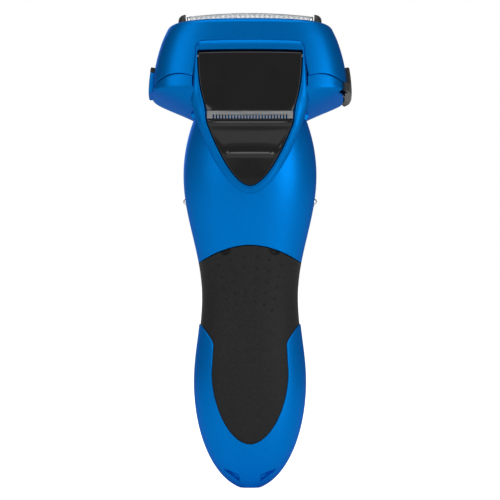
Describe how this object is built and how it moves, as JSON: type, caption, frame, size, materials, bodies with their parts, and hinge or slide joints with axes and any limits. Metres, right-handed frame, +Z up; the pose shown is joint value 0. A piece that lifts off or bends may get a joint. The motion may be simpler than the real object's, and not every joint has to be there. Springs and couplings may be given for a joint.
{
  "type": "electric shaver",
  "caption": "Hand-held foil shaver with a wide head of arched foils, a flared handle with rubber grips and a pop-up trimmer on the back.",
  "frame": {"origin": "middle of the nose at the bottom tip, where the charging socket opens", "axes": "+X to the right seen from the front, -Y the front with the power switch, +Y the back with the trimmer, +Z up towards the foils"},
  "size_m": [0.0706, 0.0396, 0.1654],
  "materials": {
    "blue_cover": "satin metallic blue plastic",
    "blue_head": "satin metallic blue plastic",
    "grip_rubber": "matte dark grey rubber",
    "gloss_black": "gloss black",
    "black_plastic": "fine matte black",
    "chrome_trim": "polished",
    "foil_steel": "fine perforated foil",
    "blade_steel": "ground steel",
    "spring_steel": "drawn wire",
    "pin_metal": "gold-flashed contact",
    "motor_steel": "zinc plated",
    "bronze_bush": "sintered bronze",
    "frame_plastic": "grey moulded",
    "white_plastic": "white acetal",
    "seal_rubber": "soft grey rubber",
    "board_green": "solder mask",
    "cell_wrap": "shrink wrap",
    "copper_wire": "enamelled wire",
    "lamp_lens": "translucent"
  },
  "bodies": {
    "handle": {"rear_cover": "blue_cover", "front_cover": "blue_cover", "lower_cover": "blue_cover", "head_housing": "blue_head", "trimmer_bezel": "blue_head", "chrome_trim": "chrome_trim", "rear_grip": "grip_rubber", "front_grip": "grip_rubber", "inner_chassis": "frame_plastic", "battery_cell": "cell_wrap", "lower_contact": "spring_steel", "upper_contact": "spring_steel", "circuit_board": "board_green", "charging_coil": "copper_wire", "indicator_lamp": "lamp_lens", "charge_socket": "black_plastic", "contact_pins": "pin_metal", "motor_can": "motor_steel", "motor_end_cap": "white_plastic", "lower_bushing": "bronze_bush", "upper_bushing": "bronze_bush", "motor_mount": "frame_plastic", "neck_gasket": "seal_rubber", "guide_rods": "motor_steel", "head_deck": "frame_plastic", "deck_screws": "motor_steel", "drive_seals": "seal_rubber", "fixed_lug": "black_plastic", "release_spring": "spring_steel", "trimmer_hinge_pin": "motor_steel", "switch_bezel": "gloss_black", "indicator_lens": "lamp_lens"},
    "foil_unit": {"foil_frame": "blue_head", "foil_cassette": "black_plastic"},
    "front_foil_body": {"front_foil": "foil_steel"},
    "centre_foil_body": {"centre_foil": "foil_steel"},
    "rear_foil_body": {"rear_foil": "foil_steel"},
    "bridge": {"drive_bridge": "white_plastic", "front_blade_spring": "spring_steel", "centre_blade_spring": "spring_steel", "rear_blade_spring": "spring_steel"},
    "front_blade_body": {"front_inner_blade": "blade_steel"},
    "centre_blade_body": {"centre_inner_blade": "blade_steel"},
    "rear_blade_body": {"rear_inner_blade": "blade_steel"},
    "rotor": {"motor_rotor": "motor_steel", "eccentric_cam": "white_plastic"},
    "button": {"release_button": "black_plastic"},
    "slider": {"trimmer_slider": "gloss_black"},
    "arm": {"trimmer_arm": "gloss_black", "trimmer_comb": "blade_steel"},
    "cutter": {"trimmer_cutter": "blade_steel", "cutter_lever": "white_plastic"},
    "switch": {"power_switch": "gloss_black"},
    "lock": {"lock_button": "black_plastic"}
  },
  "joints": [
    {"name": "foil_unit_lift", "type": "slide", "parent": "handle", "child": "foil_unit", "axis": [0, -0.2079, 0.9781], "range_m": [0, 0.025]},
    {"name": "front_foil_float", "type": "slide", "parent": "foil_unit", "child": "front_foil_body", "axis": [0, 0.2079, -0.9781], "range_m": [0, 0.0012], "stiffness_N_per_m": 600, "springref_m": -0.0008},
    {"name": "centre_foil_float", "type": "slide", "parent": "foil_unit", "child": "centre_foil_body", "axis": [0, 0.2079, -0.9781], "range_m": [0, 0.0012], "stiffness_N_per_m": 600, "springref_m": -0.0008},
    {"name": "rear_foil_float", "type": "slide", "parent": "foil_unit", "child": "rear_foil_body", "axis": [0, 0.2079, -0.9781], "range_m": [0, 0.0012], "stiffness_N_per_m": 600, "springref_m": -0.0008},
    {"name": "bridge_stroke", "type": "slide", "parent": "handle", "child": "bridge", "axis": [1, 0, 0], "range_m": [-0.0012, 0.0012]},
    {"name": "front_blade_float", "type": "slide", "parent": "bridge", "child": "front_blade_body", "axis": [0, 0.2079, -0.9781], "range_m": [0, 0.0012], "deforming": ["front_blade_spring"]},
    {"name": "centre_blade_float", "type": "slide", "parent": "bridge", "child": "centre_blade_body", "axis": [0, 0.2079, -0.9781], "range_m": [0, 0.0012], "deforming": ["centre_blade_spring"]},
    {"name": "rear_blade_float", "type": "slide", "parent": "bridge", "child": "rear_blade_body", "axis": [0, 0.2079, -0.9781], "range_m": [0, 0.0012], "deforming": ["rear_blade_spring"]},
    {"name": "rotor_spin", "type": "hinge", "parent": "handle", "child": "rotor", "pos_m": [0, -0.001, 0.102], "axis": [0, 0, 1], "continuous": true},
    {"name": "release_press", "type": "slide", "parent": "handle", "child": "button", "axis": [1, 0, 0], "range_m": [0, 0.0012], "stiffness_N_per_m": 900, "springref_m": -0.0008, "deforming": ["release_spring"]},
    {"name": "slider_lift", "type": "slide", "parent": "handle", "child": "slider", "axis": [0, 0, 1], "range_m": [0, 0.006]},
    {"name": "trimmer_swing", "type": "hinge", "parent": "handle", "child": "arm", "pos_m": [0, 0.01074, 0.14961], "axis": [1, 0, 0], "range_deg": [0, 65.5]},
    {"name": "cutter_stroke", "type": "slide", "parent": "arm", "child": "cutter", "axis": [1, 0, 0], "range_m": [-0.0012, 0.0012]},
    {"name": "switch_slide", "type": "slide", "parent": "handle", "child": "switch", "axis": [0, 0, 1], "range_m": [0, 0.004]},
    {"name": "lock_press", "type": "slide", "parent": "switch", "child": "lock", "axis": [0, 1, 0], "range_m": [0, 0.0008], "stiffness_N_per_m": 800, "springref_m": -0.0006}
  ],
  "couplings": [
    {"joint": "front_blade_float", "follows": "front_foil_float", "ratio": 1},
    {"joint": "centre_blade_float", "follows": "centre_foil_float", "ratio": 1},
    {"joint": "rear_blade_float", "follows": "rear_foil_float", "ratio": 1},
    {"joint": "cutter_stroke", "follows": "bridge_stroke", "ratio": 1},
    {"joint": "trimmer_swing", "follows": "slider_lift", "rad_per_m": 189.08}
  ]
}
